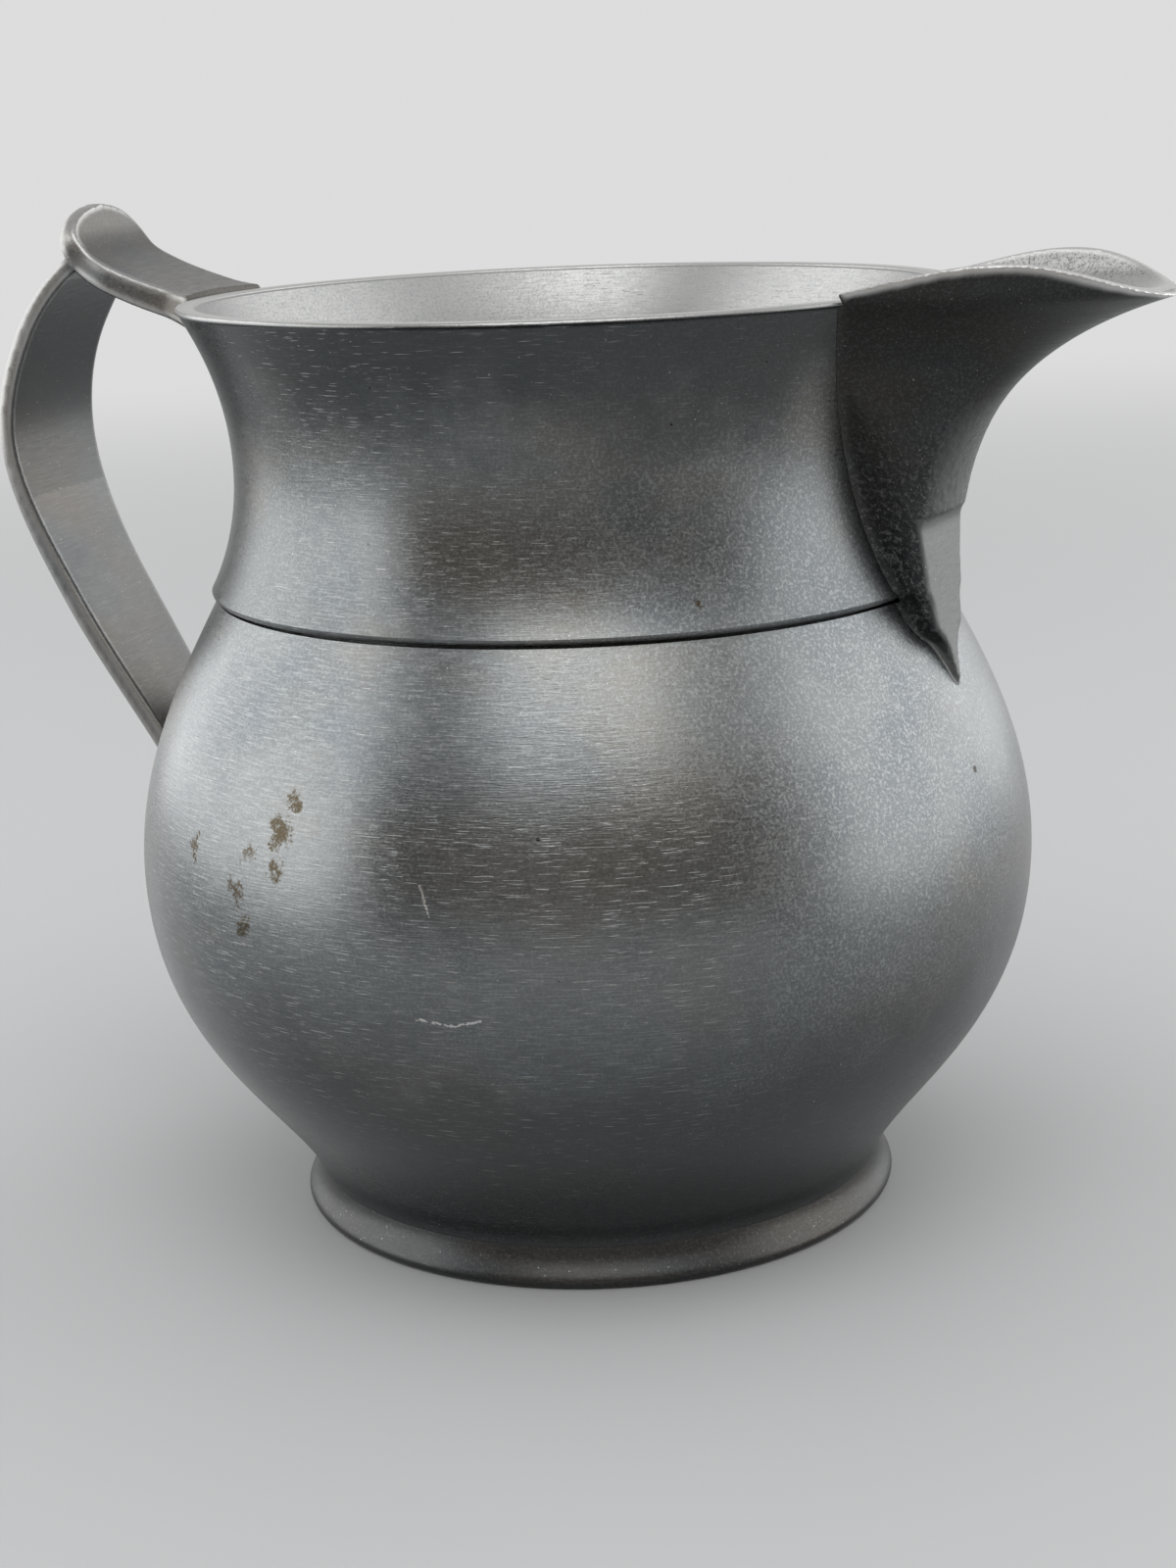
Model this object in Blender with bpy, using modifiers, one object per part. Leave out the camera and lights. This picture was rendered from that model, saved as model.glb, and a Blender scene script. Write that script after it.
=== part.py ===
"""Pewter pitcher: a turned bowl on a foot ring, a waisted collar, a beaked spout and a strap handle.

Outlines are in millimetres as (distance from the body axis, height above the table). The body axis is
the world Z axis, the table is Z = 0, and the spout points along +X.
"""

import math

import bmesh
import bpy
import numpy as np

MM = 0.001
GAP = 0.3
CUT_CLEARANCE = 8.0
FINE_POINTS = 40
TURN_STEPS = 64
BOWL_POINTS = 9
COLLAR_POINTS = 7
FOOT_POINTS = 5

# Body: each curve is a cubic Bezier of four points
WALL = 2.6
BOWL_LOWER = ((48.3, 6.6), (55.5, 22.5), (74.5, 31.4), (74.5, 60.3))
BOWL_UPPER = ((74.5, 60.3), (74.5, 77.9), (65.9, 92.6), (59.2, 104.8))
COLLAR_LOWER = ((60.1, 106.3), (58.0, 110.0), (55.3, 117.0), (55.3, 125.6))
COLLAR_UPPER = ((55.3, 125.6), (55.3, 138.2), (59.9, 146.6), (62.6, 151.4))
COLLAR_INSIDE_UPPER = ((59.3, 151.8), (56.4, 145.5), (52.7, 138.5), (52.7, 125.6))
COLLAR_INSIDE_LOWER = ((52.7, 125.6), (52.7, 117.0), (54.4, 111.5), (55.2, 108.6))
RIM_HEIGHT = 152.0
RIM_RADIUS = 62.9
RIM_INSIDE = 59.7
RIM_ROUNDING = 0.6

# Lap joint: a lip on the bowl stands inside a rebate in the collar
LAP_TOP = 108.3
LAP_INSIDE = 55.2
LAP_OUTSIDE = 56.7
LIP_HEIGHT = 4.6
COLLAR_EDGE_ROUNDING = 1.2

# Floor of the bowl and its seat on the foot ring
FLOOR_INSIDE = 8.4
FLOOR_UNDERSIDE = 5.4
FLOOR_FILLET = 3.5
SEAT_RADIUS = 43.0
FOOT_CONTACT = (45.4, 48.9)
FOOT_INSIDE = (43.7, 1.4)
FOOT_LIP_LOWER = ((48.9, 0.0), (50.2, 0.0), (50.8, 0.9), (50.8, 2.0))
FOOT_LIP_UPPER = ((50.8, 2.0), (50.8, 4.6), (48.2, 3.7), (48.2, 6.3))

# Spout: keel as (reach, height), crease as (half width, height), top edge as (reach, height)
KEEL_TAIL = ((67.2, 91.8), (66.4, 97.5), (65.2, 103.0), (65.2, 110.0))
KEEL_RISE = ((65.2, 110.0), (65.2, 131.8), (77.8, 144.6), (99.5, 150.7))
CREASE_TAIL = ((0.8, 91.8), (1.0, 96.5), (5.0, 100.5), (8.0, 106.5))
CREASE_RISE = ((8.0, 106.5), (9.5, 118.0), (14.0, 136.0), (24.8, 152.0))
SPOUT_EDGE_BACK = ((50.0, 151.6), (62.0, 153.6), (70.0, 156.7), (79.5, 156.7))
SPOUT_EDGE_FRONT = ((79.5, 156.7), (88.5, 156.7), (93.0, 153.2), (103.0, 150.2))
SPOUT_TOP = 162.0
SHANK_SECTIONS = 14
BEAK_SECTIONS = 9
SPOUT_WALL = 2.2
KEEL_WALL_UP = 1.5
KEEL_WALL_IN = 1.8
PASSAGE_FLOOR = 120.5
FLANK_POINTS = 9
EDGE_POINTS = 12
BOX_POWER = 6.0
BOX_TOP = 112.0
BEAK_BOTTOM = 142.0
ROOT_REACH = 30.0
LEAST_DEPTH = 1.0
FACET_LINE = ((67.8, 88.0), (66.0, 95.0), (64.4, 104.0), (63.7, 118.5))
FACET_POINTS = 6
FACET_HALF_WIDTH = 14.0
FACET_ROUNDING = 2.5
ROUNDING_STEPS = 3

# Handle: paths in its own upright plane, turned round from straight opposite the spout
HANDLE_TURN = math.radians(188.0)
TOP_STRAP_PATH = ((54.0, 147.4), (64.0, 151.0), (70.0, 152.2), (77.0, 155.4))
THUMB_REST_PATH = ((77.0, 155.4), (81.5, 157.5), (85.2, 160.0), (84.6, 167.4))
STRAP_HALF_WIDTHS = (15.5, 12.6, 12.6, 12.0, 12.0)
STRAP_THICKNESSES = (6.4, 4.6, 4.4, 4.2, 2.4)
THUMB_REST_ROUND = 6.6
TIP_END = 0.985
STRAP_POINTS = 14
GRIP_UPPER_PATH = ((82.8, 158.8), (90.0, 154.5), (97.9, 142.0), (97.9, 129.5))
GRIP_LOWER_PATH = ((97.9, 129.5), (97.9, 112.0), (81.5, 89.5), (70.5, 69.0))
GRIP_HALF_WIDTHS = (11.8, 13.3, 14.2, 12.4, 10.6)
GRIP_THICKNESSES = (2.8, 2.8, 2.7, 3.4, 3.2)
STRAP_CORNER = 0.8

# Pewter as photographed: base colour, roughness
PEWTER_BODY = ((0.30, 0.30, 0.30), 0.42)
PEWTER_COLLAR = ((0.24, 0.25, 0.26), 0.38)
PEWTER_SPOUT = ((0.22, 0.23, 0.24), 0.48)
PEWTER_HANDLE = ((0.36, 0.36, 0.35), 0.36)
PEWTER_FOOT = ((0.34, 0.34, 0.34), 0.40)


def clear_scene():
    for obj in list(bpy.data.objects):
        bpy.data.objects.remove(obj, do_unlink=True)


def new_collection(name):
    collection = bpy.data.collections.new(name)
    bpy.context.scene.collection.children.link(collection)
    return collection


def bezier(curve, count):
    """Points of a cubic Bezier, both ends included."""
    a, b, c, d = (np.array(point, float) for point in curve)
    t = np.linspace(0.0, 1.0, count)[:, None]
    return (1 - t) ** 3 * a + 3 * (1 - t) ** 2 * t * b + 3 * (1 - t) * t**2 * c + t**3 * d


def chain(first, second, count):
    """Two Beziers that share an end, as one row of points."""
    return np.vstack([bezier(first, count), bezier(second, count)[1:]])


def shifted(points, distance):
    """A row of points moved to the right of its direction of travel."""
    along = np.gradient(points, axis=0)
    along /= np.linalg.norm(along, axis=1)[:, None]
    return points + distance * np.stack([along[:, 1], -along[:, 0]], axis=1)


def corner(centre, radius, start, end, count=4):
    """Arc of a rounded corner, with angles in degrees."""
    angles = np.radians(np.linspace(start, end, count))
    return np.stack([centre[0] + radius * np.cos(angles), centre[1] + radius * np.sin(angles)], axis=1)


def pewter(name, look):
    colour, roughness = look
    material = bpy.data.materials.new(name)
    material.use_nodes = True
    shader = material.node_tree.nodes["Principled BSDF"]
    shader.inputs["Base Color"].default_value = (*colour, 1.0)
    shader.inputs["Metallic"].default_value = 1.0
    shader.inputs["Roughness"].default_value = roughness
    return material


def add_object(name, mesh, collection, look=None):
    obj = bpy.data.objects.new(name, mesh)
    collection.objects.link(obj)
    if look:
        mesh.materials.append(pewter(name + "_pewter", look))
    else:
        obj.hide_render = True
        obj.display_type = "WIRE"
    return obj


def turned(name, profile, closed, collection, look=None):
    """A Screw of a profile whose outer side runs from top to bottom."""
    points = [(radius * MM, 0.0, height * MM) for radius, height in profile]
    edges = [(i, i + 1) for i in range(len(points) - 1)]
    if closed:
        edges.append((len(points) - 1, 0))
    mesh = bpy.data.meshes.new(name)
    mesh.from_pydata(points, edges, [])
    obj = add_object(name, mesh, collection, look)
    screw = obj.modifiers.new("turn", "SCREW")
    screw.axis = "Z"
    screw.steps = TURN_STEPS
    screw.render_steps = TURN_STEPS
    screw.use_merge_vertices = True
    screw.merge_threshold = 0.00001
    screw.use_smooth_shade = True
    return obj


def lofted(name, rings, collection, look=None):
    """A closed skin through rings of equal count, given in millimetres, with a cap at each end."""
    shape = bmesh.new()
    rows = [[shape.verts.new([value * MM for value in point]) for point in ring] for ring in rings]
    for row, following in zip(rows, rows[1:]):
        for i in range(len(row)):
            j = (i + 1) % len(row)
            shape.faces.new((row[i], row[j], following[j], following[i])).smooth = True
    shape.faces.new(rows[0])
    shape.faces.new(rows[-1])
    bmesh.ops.recalc_face_normals(shape, faces=shape.faces[:])
    mesh = bpy.data.meshes.new(name)
    shape.to_mesh(mesh)
    shape.free()
    return add_object(name, mesh, collection, look)


def cut(obj, tool, operation="DIFFERENCE"):
    boolean = obj.modifiers.new(operation.lower() + "_" + tool.name, "BOOLEAN")
    boolean.operation = operation
    boolean.object = tool
    boolean.solver = "EXACT"


def make_bowl(collection):
    outside = chain(BOWL_LOWER, BOWL_UPPER, BOWL_POINTS)
    inside = shifted(outside, -WALL)
    above_fillet = inside[:, 1] > FLOOR_INSIDE + FLOOR_FILLET
    below_lip = inside[:, 1] < LAP_TOP - LIP_HEIGHT
    inside = inside[above_fillet & below_lip]
    floor_edge = (inside[0][0] - FLOOR_FILLET, FLOOR_INSIDE)
    floor_turn = (inside[0][0] - FLOOR_FILLET / 4, FLOOR_INSIDE)
    profile = [(0.0, FLOOR_INSIDE)]
    profile += list(bezier((floor_edge, floor_turn, floor_turn, inside[0]), FOOT_POINTS))
    profile += list(inside[1:])
    profile += [(LAP_INSIDE, LAP_TOP - LIP_HEIGHT), (LAP_INSIDE, LAP_TOP), (LAP_OUTSIDE, LAP_TOP)]
    profile += [(LAP_OUTSIDE, outside[-1][1])]
    profile += list(outside[::-1])
    profile += [(SEAT_RADIUS - GAP, BOWL_LOWER[0][1]), (SEAT_RADIUS - GAP, FLOOR_UNDERSIDE)]
    profile += [(0.0, FLOOR_UNDERSIDE)]
    return turned("bowl", profile, False, collection, PEWTER_BODY)


def make_foot_ring(collection):
    top = BOWL_LOWER[0][1] - GAP
    outside = chain(FOOT_LIP_LOWER, FOOT_LIP_UPPER, FOOT_POINTS)[::-1]
    profile = list(outside)
    profile += [(FOOT_CONTACT[0], 0.0), FOOT_INSIDE, (SEAT_RADIUS, top)]
    return turned("foot_ring", profile, True, collection, PEWTER_FOOT)


def make_collar(collection):
    outside = chain(COLLAR_LOWER, COLLAR_UPPER, COLLAR_POINTS)[::-1]
    rim = RIM_RADIUS - RIM_ROUNDING
    bottom = BOWL_UPPER[-1][1] + GAP
    edge = COLLAR_LOWER[0][0] - COLLAR_EDGE_ROUNDING
    inside = chain(COLLAR_INSIDE_UPPER, COLLAR_INSIDE_LOWER, COLLAR_POINTS - 1)[::-1]
    profile = [(RIM_INSIDE, RIM_HEIGHT)]
    profile += list(corner((rim, RIM_HEIGHT - RIM_ROUNDING), RIM_ROUNDING, 90.0, 0.0))
    profile += list(outside[1:])
    profile += list(corner((edge, bottom + COLLAR_EDGE_ROUNDING), COLLAR_EDGE_ROUNDING, 0.0, -90.0)[1:])
    profile += [(LAP_OUTSIDE + GAP, bottom), (LAP_OUTSIDE + GAP, LAP_TOP + GAP)]
    profile += list(inside)
    return turned("neck_collar", profile, True, collection, PEWTER_COLLAR)


def make_body_blank(collection):
    """The outside of bowl and collar with the joint gap added, carried up past the rim."""
    bowl = shifted(chain(BOWL_LOWER, BOWL_UPPER, BOWL_POINTS), GAP)
    collar = shifted(chain(COLLAR_LOWER, COLLAR_UPPER, COLLAR_POINTS), GAP)
    above = SPOUT_TOP + CUT_CLEARANCE
    profile = [(0.0, above), (RIM_RADIUS + GAP, above), (RIM_RADIUS + GAP, COLLAR_UPPER[-1][1])]
    profile += list(collar[-2::-1])
    profile += [(collar[0][0], bowl[-1][1])]
    profile += list(bowl[::-1])
    profile += [(0.0, bowl[0][1])]
    return turned("body_blank", profile, False, collection)


def spout_section(height, half_width, reach, root):
    """Plan of the spout at one height: a box low down that turns into a pointed beak higher up."""
    blend = np.clip((BEAK_BOTTOM - height) / (BEAK_BOTTOM - BOX_TOP), 0.0, 1.0)
    power = 1.0 + (BOX_POWER - 1.0) * blend * blend * (3.0 - 2.0 * blend)
    along = np.sin(np.linspace(0.0, math.pi / 2, FLANK_POINTS))
    across = half_width * np.sqrt(np.clip(1.0 - along**power, 0.0, 1.0))
    near = [(root + (reach - root) * s, -t, height) for s, t in zip(along, across)]
    far = [(x, -y, z) for x, y, z in near[-2::-1]]
    return [(ROOT_REACH, -half_width, height), *near, *far, (ROOT_REACH, half_width, height)]


def body_radius(height):
    bowl = chain(BOWL_LOWER, BOWL_UPPER, FINE_POINTS)
    outline = np.vstack([bowl, chain(COLLAR_LOWER, COLLAR_UPPER, FINE_POINTS)])
    return float(np.interp(height, outline[:, 1], outline[:, 0]))


def make_spout_form(name, bottom, side_wall, keel_up, keel_in, collection, look=None):
    """The spout's loft, thinned by a wall for the passage inside it."""
    keel = chain(KEEL_TAIL, KEEL_RISE, FINE_POINTS)
    crease = chain(CREASE_TAIL, CREASE_RISE, FINE_POINTS)
    shank = np.linspace(bottom, BEAK_BOTTOM, SHANK_SECTIONS)
    beak = np.linspace(BEAK_BOTTOM, KEEL_RISE[-1][1] + keel_up, BEAK_SECTIONS)
    rings = []
    for height in [*shank, *beak[1:], CREASE_RISE[-1][1] + keel_up, SPOUT_TOP]:
        half_width = float(np.interp(height, crease[:, 1], crease[:, 0])) - side_wall
        reach = float(np.interp(height - keel_up, keel[:, 1], keel[:, 0])) - keel_in
        root = math.sqrt(body_radius(height) ** 2 - half_width**2)
        rings.append(spout_section(height, half_width, reach, min(root, reach - LEAST_DEPTH)))
    return lofted(name, rings, collection, look)


def prism(name, outline, half_width, collection):
    """An outline in the XZ plane carried to both sides along Y."""
    rings = [[(x, side, z) for x, z in outline] for side in (-half_width, half_width)]
    return lofted(name, rings, collection)


def make_spout(collection, cutters, blank):
    spout = make_spout_form("spout", KEEL_TAIL[0][1], 0.0, 0.0, 0.0, collection, PEWTER_SPOUT)
    edge = chain(SPOUT_EDGE_BACK, SPOUT_EDGE_FRONT, EDGE_POINTS)
    over = SPOUT_TOP + CUT_CLEARANCE
    outline = [*edge, (edge[-1][0], over), (edge[0][0], over)]
    trim = prism("spout_edge_trim", outline, RIM_RADIUS, cutters)
    face = bezier(FACET_LINE, FACET_POINTS)
    clear = KEEL_RISE[-1][0]
    outline = [*face, (clear, face[-1][1]), (clear, face[0][1])]
    facet = prism("keel_facet_file", outline, FACET_HALF_WIDTH, cutters)
    rounding = facet.modifiers.new("file_radius", "BEVEL")
    rounding.width = FACET_ROUNDING * MM
    rounding.segments = ROUNDING_STEPS
    rounding.limit_method = "ANGLE"
    rounding.angle_limit = math.radians(60.0)
    passage = make_spout_form("spout_passage", PASSAGE_FLOOR, SPOUT_WALL, KEEL_WALL_UP, KEEL_WALL_IN, cutters)
    for tool in (passage, trim, facet, blank):
        cut(spout, tool)
    return spout, passage


def spread(values, count):
    """Sizes at even stations along a path, spread over its points."""
    return np.interp(np.linspace(0.0, 1.0, count), np.linspace(0.0, 1.0, len(values)), values)


def strap_rings(path, half_widths, thicknesses):
    """Rounded rectangles across a path in the XZ plane, one at each of its points."""
    along = np.gradient(path, axis=0)
    along /= np.linalg.norm(along, axis=1)[:, None]
    rings = []
    for (x, z), (dx, dz), wide, thick in zip(path, along, half_widths, thicknesses):
        half = thick / 2
        side = wide - STRAP_CORNER
        face = half - STRAP_CORNER
        loop = [corner((side, face), STRAP_CORNER, 90.0, 0.0, ROUNDING_STEPS)]
        loop += [corner((side, -face), STRAP_CORNER, 0.0, -90.0, ROUNDING_STEPS)]
        loop += [corner((-side, -face), STRAP_CORNER, 270.0, 180.0, ROUNDING_STEPS)]
        loop += [corner((-side, face), STRAP_CORNER, 180.0, 90.0, ROUNDING_STEPS)]
        rings.append([(x - dz * up, across, z + dx * up) for across, up in np.vstack(loop)])
    return rings


def make_handle(collection, cutters, blank):
    path = chain(TOP_STRAP_PATH, THUMB_REST_PATH, STRAP_POINTS)
    steps = np.linalg.norm(np.diff(path, axis=0), axis=1)
    to_tip = np.concatenate([np.cumsum(steps[::-1])[::-1], [0.0]])
    into_round = np.clip(1.0 - to_tip / THUMB_REST_ROUND, 0.0, TIP_END)
    half_widths = spread(STRAP_HALF_WIDTHS, len(path)) * np.sqrt(1.0 - into_round**2)
    rings = strap_rings(path, half_widths, spread(STRAP_THICKNESSES, len(path)))
    handle = lofted("handle", rings, collection, PEWTER_HANDLE)
    path = chain(GRIP_UPPER_PATH, GRIP_LOWER_PATH, STRAP_POINTS)
    rings = strap_rings(path, spread(GRIP_HALF_WIDTHS, len(path)), spread(GRIP_THICKNESSES, len(path)))
    grip = lofted("handle_grip", rings, cutters)
    for obj in (handle, grip):
        obj.rotation_euler.z = HANDLE_TURN
    cut(handle, grip, "UNION")
    cut(handle, blank)
    return handle


def main():
    clear_scene()
    parts = new_collection("pewter_pitcher")
    cutters = new_collection("pitcher_cutters")
    cutters.hide_render = True
    blank = make_body_blank(cutters)
    collar = make_collar(parts)
    spout, passage = make_spout(parts, cutters, blank)
    cut(collar, passage)
    make_bowl(parts)
    make_foot_ring(parts)
    make_handle(parts, cutters, blank)


main()
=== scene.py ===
import math

import bmesh
import bpy
import numpy as np
from mathutils import Matrix, Vector, noise


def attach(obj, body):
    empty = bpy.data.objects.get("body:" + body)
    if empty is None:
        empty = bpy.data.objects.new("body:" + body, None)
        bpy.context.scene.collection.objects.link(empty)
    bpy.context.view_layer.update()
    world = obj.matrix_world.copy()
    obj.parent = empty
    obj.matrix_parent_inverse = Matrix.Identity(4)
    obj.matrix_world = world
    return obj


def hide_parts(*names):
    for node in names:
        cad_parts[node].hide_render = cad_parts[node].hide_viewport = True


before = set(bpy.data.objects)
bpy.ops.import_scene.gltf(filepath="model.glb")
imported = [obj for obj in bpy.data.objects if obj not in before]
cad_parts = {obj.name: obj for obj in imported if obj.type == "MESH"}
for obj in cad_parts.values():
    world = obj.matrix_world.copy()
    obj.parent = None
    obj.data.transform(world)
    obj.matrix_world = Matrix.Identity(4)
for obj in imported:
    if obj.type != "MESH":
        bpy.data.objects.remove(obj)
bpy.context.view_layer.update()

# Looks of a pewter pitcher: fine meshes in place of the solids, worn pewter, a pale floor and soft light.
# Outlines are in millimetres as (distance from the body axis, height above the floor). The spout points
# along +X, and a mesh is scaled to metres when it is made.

MM = 0.001

# Meshes: joint hairlines, steps and points along curves, and the even mesh of the cast pieces
JOINT_LINE = 0.04
TURN_STEPS = 224
TURN_MERGE = 0.01
CURVE_POINTS = 48
COVE_POINTS = 10
FILLET_POINTS = 8
FOOT_POINTS = 14
FACET_POINTS = 12
CREASE_STEPS = 41
CUT_CLEARANCE = 8.0
VOXEL = 0.34
SMOOTH_ROUNDS = 6
LEAST_EDGE = 0.001
CREASE_ROUNDS = 12
CORNER_ROUNDS = 8
SHARP_ANGLE = math.radians(38.0)

# Body
WALL = 2.6
BOWL_LOWER = ((48.3, 6.6), (55.5, 22.5), (74.5, 31.4), (74.5, 60.3))
BOWL_UPPER = ((74.5, 60.3), (74.5, 77.9), (65.9, 92.6), (59.2, 104.8))
COLLAR_LOWER = ((60.1, 106.3), (58.0, 110.0), (55.3, 117.0), (55.3, 125.6))
COLLAR_UPPER = ((55.3, 125.6), (55.3, 138.2), (59.9, 146.6), (62.6, 151.4))
COLLAR_INSIDE_UPPER = ((59.3, 151.8), (56.4, 145.5), (52.7, 138.5), (52.7, 125.6))
COLLAR_INSIDE_LOWER = ((52.7, 125.6), (52.7, 117.0), (54.4, 111.5), (55.2, 108.6))
RIM_HEIGHT = 152.0
RIM_RADIUS = 62.9
RIM_INSIDE = 59.7
RIM_ROUNDING = 0.6
LAP_TOP = 108.3
LAP_INSIDE = 55.2
LAP_OUTSIDE = 56.7
LIP_HEIGHT = 4.6
COLLAR_EDGE_ROUNDING = 1.2
FLOOR_INSIDE = 8.4
FLOOR_UNDERSIDE = 5.4
FLOOR_FILLET = 3.5
SEAT_RADIUS = 43.0
FOOT_CONTACT_INSIDE = 45.4
FOOT_INSIDE = (43.7, 1.4)
FOOT_LIP = ((48.9, 0.0), (50.2, 0.0), (50.8, 0.5), (50.8, 1.3))
FOOT_FLARE = ((50.8, 1.3), (50.8, 2.5), (48.8, 3.6), (48.5, 6.5))
BOWL_COVE = ((48.5, 6.5), (48.8, 8.3), (50.1, 10.0), (51.35, 12.07))
COVE_CLEARANCE = 0.5
SEAM_GAP = 0.42

# Spout
KEEL_TAIL = ((67.2, 91.8), (66.4, 97.5), (65.2, 103.0), (65.2, 110.0))
KEEL_RISE = ((65.2, 110.0), (65.2, 131.8), (77.8, 144.6), (99.5, 150.7))
CREASE_TIP = ((0.5, 91.8), (2.2, 101.5), (5.0, 97.5), (6.3, 102.4))
CREASE_TAIL = ((6.3, 102.4), (6.5, 103.8), (7.1, 105.0), (8.0, 106.5))
CREASE_RISE = ((8.0, 106.5), (9.5, 118.0), (14.0, 136.0), (24.8, 152.0))
SPOUT_EDGE_BACK = ((50.0, 151.6), (62.0, 153.6), (70.0, 156.7), (79.5, 156.7))
SPOUT_EDGE_FRONT = ((79.5, 156.7), (88.5, 156.7), (93.0, 153.2), (103.0, 150.2))
SPOUT_TOP = 162.0
BEYOND_BEAK = 120.0
SHANK_SECTIONS = 140
BEAK_SECTIONS = 24
EDGE_SECTIONS = 30
FLARE_LENGTH = 2.0
SPOUT_WALL = 2.2
KEEL_WALL_UP = 1.5
KEEL_WALL_IN = 1.8
PASSAGE_FLOOR = 120.5
FLANK_POINTS = 24
BOX_POWER = 10.0
BOX_TOP = 112.0
BEAK_BOTTOM = 142.0
ROOT_REACH = 30.0
LEAST_DEPTH = 1.0
FACET_LINE = ((67.8, 88.0), (66.0, 95.0), (64.4, 104.0), (63.7, 118.5))
FACET_HALF_WIDTH = 14.0
FACET_ROUNDING = 2.5
FACET_ROUNDING_STEPS = 6
FACET_ROUNDING_ANGLE = math.radians(60.0)

# Sector of the body's wall that the spout is joined to while its crease is filled
CREASE_SPAN = 34.0
CREASE_DEPTH = 6.0
CREASE_BOTTOM = 84.0
SEAM_INSET = 0.8

# Handle
HANDLE_TURN = math.radians(188.0)
TOP_STRAP_PATH = ((54.0, 147.4), (64.0, 151.0), (70.0, 152.2), (77.0, 155.4))
THUMB_REST_PATH = ((77.0, 155.4), (81.5, 157.5), (85.2, 160.0), (84.6, 167.4))
STRAP_HALF_WIDTHS = (15.5, 12.6, 12.6, 12.0, 12.0)
STRAP_THICKNESSES = (6.4, 4.6, 4.4, 4.2, 2.4)
THUMB_REST_ROUND = 6.6
TIP_END = 0.995
GRIP_UPPER_PATH = ((82.8, 158.8), (90.0, 154.5), (97.9, 142.0), (97.9, 129.5))
GRIP_LOWER_PATH = ((97.9, 129.5), (97.9, 112.0), (81.5, 89.5), (70.5, 69.0))
GRIP_HALF_WIDTHS = (11.8, 13.3, 14.2, 12.4, 10.6)
GRIP_THICKNESSES = (2.8, 2.8, 2.7, 3.4, 3.2)
STRAP_CORNER = 0.8
STRAP_CORNER_POINTS = 5
# Heights over which the grip's inner side gets painted shade, darkest under the thumb rest
GRIP_PAINTED_SHADE = (105.0, 144.0)
STRAP_FACING = 0.3

# Skin of the spout: its ripples, and where its fillet, filed facet, keel, tail and channel lie
RIPPLE_HEIGHT = 0.10
RIPPLE_LENGTH = 1.3
FILLET_REACH = 0.5
FILLET_WIDTH = 3.0
FACET_MARGIN = 0.3
FACET_BOTTOM = 92.5
KEEL_FACING = 0.75
TAIL_TOP = 99.0
CHANNEL_SIDE_FACING = 0.1
CHANNEL_FLOOR_FACING = 0.4

# Marks on the body as (azimuth in degrees, height, radius)
BROWN_STAINS = (
    (-99.7, 82.6, 3.6),
    (-101.5, 77.9, 5.2),
    (-106.1, 73.9, 3.4),
    (-101.6, 72.5, 3.6),
    (-108.3, 68.1, 3.6),
    (-107.0, 62.5, 4.6),
    (-117.6, 72.2, 2.4),
)
COLLAR_STAINS = ((-44.8, 109.7, 2.0),)
DARK_SPOTS = ((-4.5, 79.1, 1.0), (-67.7, 79.6, 0.5))

# Scratches and brown lines on the bowl as (azimuth in degrees, height) of both ends
BRIGHT_SCRATCHES = (
    ((-82.5, 52.8), (-78.0, 52.0)),
    ((-78.0, 52.0), (-74.9, 53.1)),
    ((-81.6, 73.0), (-80.4, 68.6)),
)
BROWN_LINES = (((-117.2, 74.6), (-118.1, 71.7)), ((-118.1, 71.7), (-117.3, 70.1)))
SCRATCH_HALF_WIDTH = 0.18
BROWN_HALF_WIDTH = 0.35

# Metal, marks and wear, and the colours of painted light and shade
BODY_GREY = (0.176, 0.185, 0.187)
COLLAR_GREY = (0.152, 0.160, 0.162)
FOOT_GREY = (0.062, 0.063, 0.063)
SPOUT_GREY = (0.041, 0.043, 0.044)
HANDLE_GREY = (0.125, 0.127, 0.126)
STAIN_COLOUR = (0.055, 0.040, 0.019, 1.0)
CREST_COLOUR = (0.20, 0.20, 0.20, 1.0)
PIT_COLOUR = (0.030, 0.028, 0.026, 1.0)
BRIGHT_COLOUR = (0.52, 0.52, 0.51, 1.0)
EDGE_WEAR = (0.014, 0.040)
EDGE_SPREAD = 10
TOP_FACING = 0.7
WRAP_RADIUS = 66.0
POLISHED_SIDES = (40.0, 62.0)
# Painted light: the insides of rim and spout are lighter, as a painted reflection of the bright room
INNER_PAINTED_LIGHT = (0.34, 0.34, 0.335, 1.0)
FILED_COLOUR = (0.110, 0.113, 0.112, 1.0)
MARKED = ("inner", "filed", "shaded", "worn")
RELIEF_DEPTH = 0.045

# Heights between which painted shade darkens the metal, in place of dark reflections, or its skin gets as
# rough as it was cast
BOWL_PAINTED_SHADE = (64.0, 32.0)
COLLAR_PAINTED_SHADE = (124.0, 146.0)
CAST_SKIN = (142.0, 112.0)

# Camera fitted to the photograph, with its angles in radians
IMAGE_HEIGHT = 1600.0
FOCAL_PIXELS = 2726.845
CAMERA_DISTANCE = 2.882283 * RIM_HEIGHT * MM
CAMERA_HEIGHT = 1.194666 * RIM_HEIGHT * MM
CAMERA_YAW = 0.00090074
CAMERA_PITCH = 0.25083991
CAMERA_ROLL = -0.03921027
CAMERA_TURN = math.radians(28.0)
SENSOR_HEIGHT = 36.0
CLIP_START = 0.01

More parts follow.
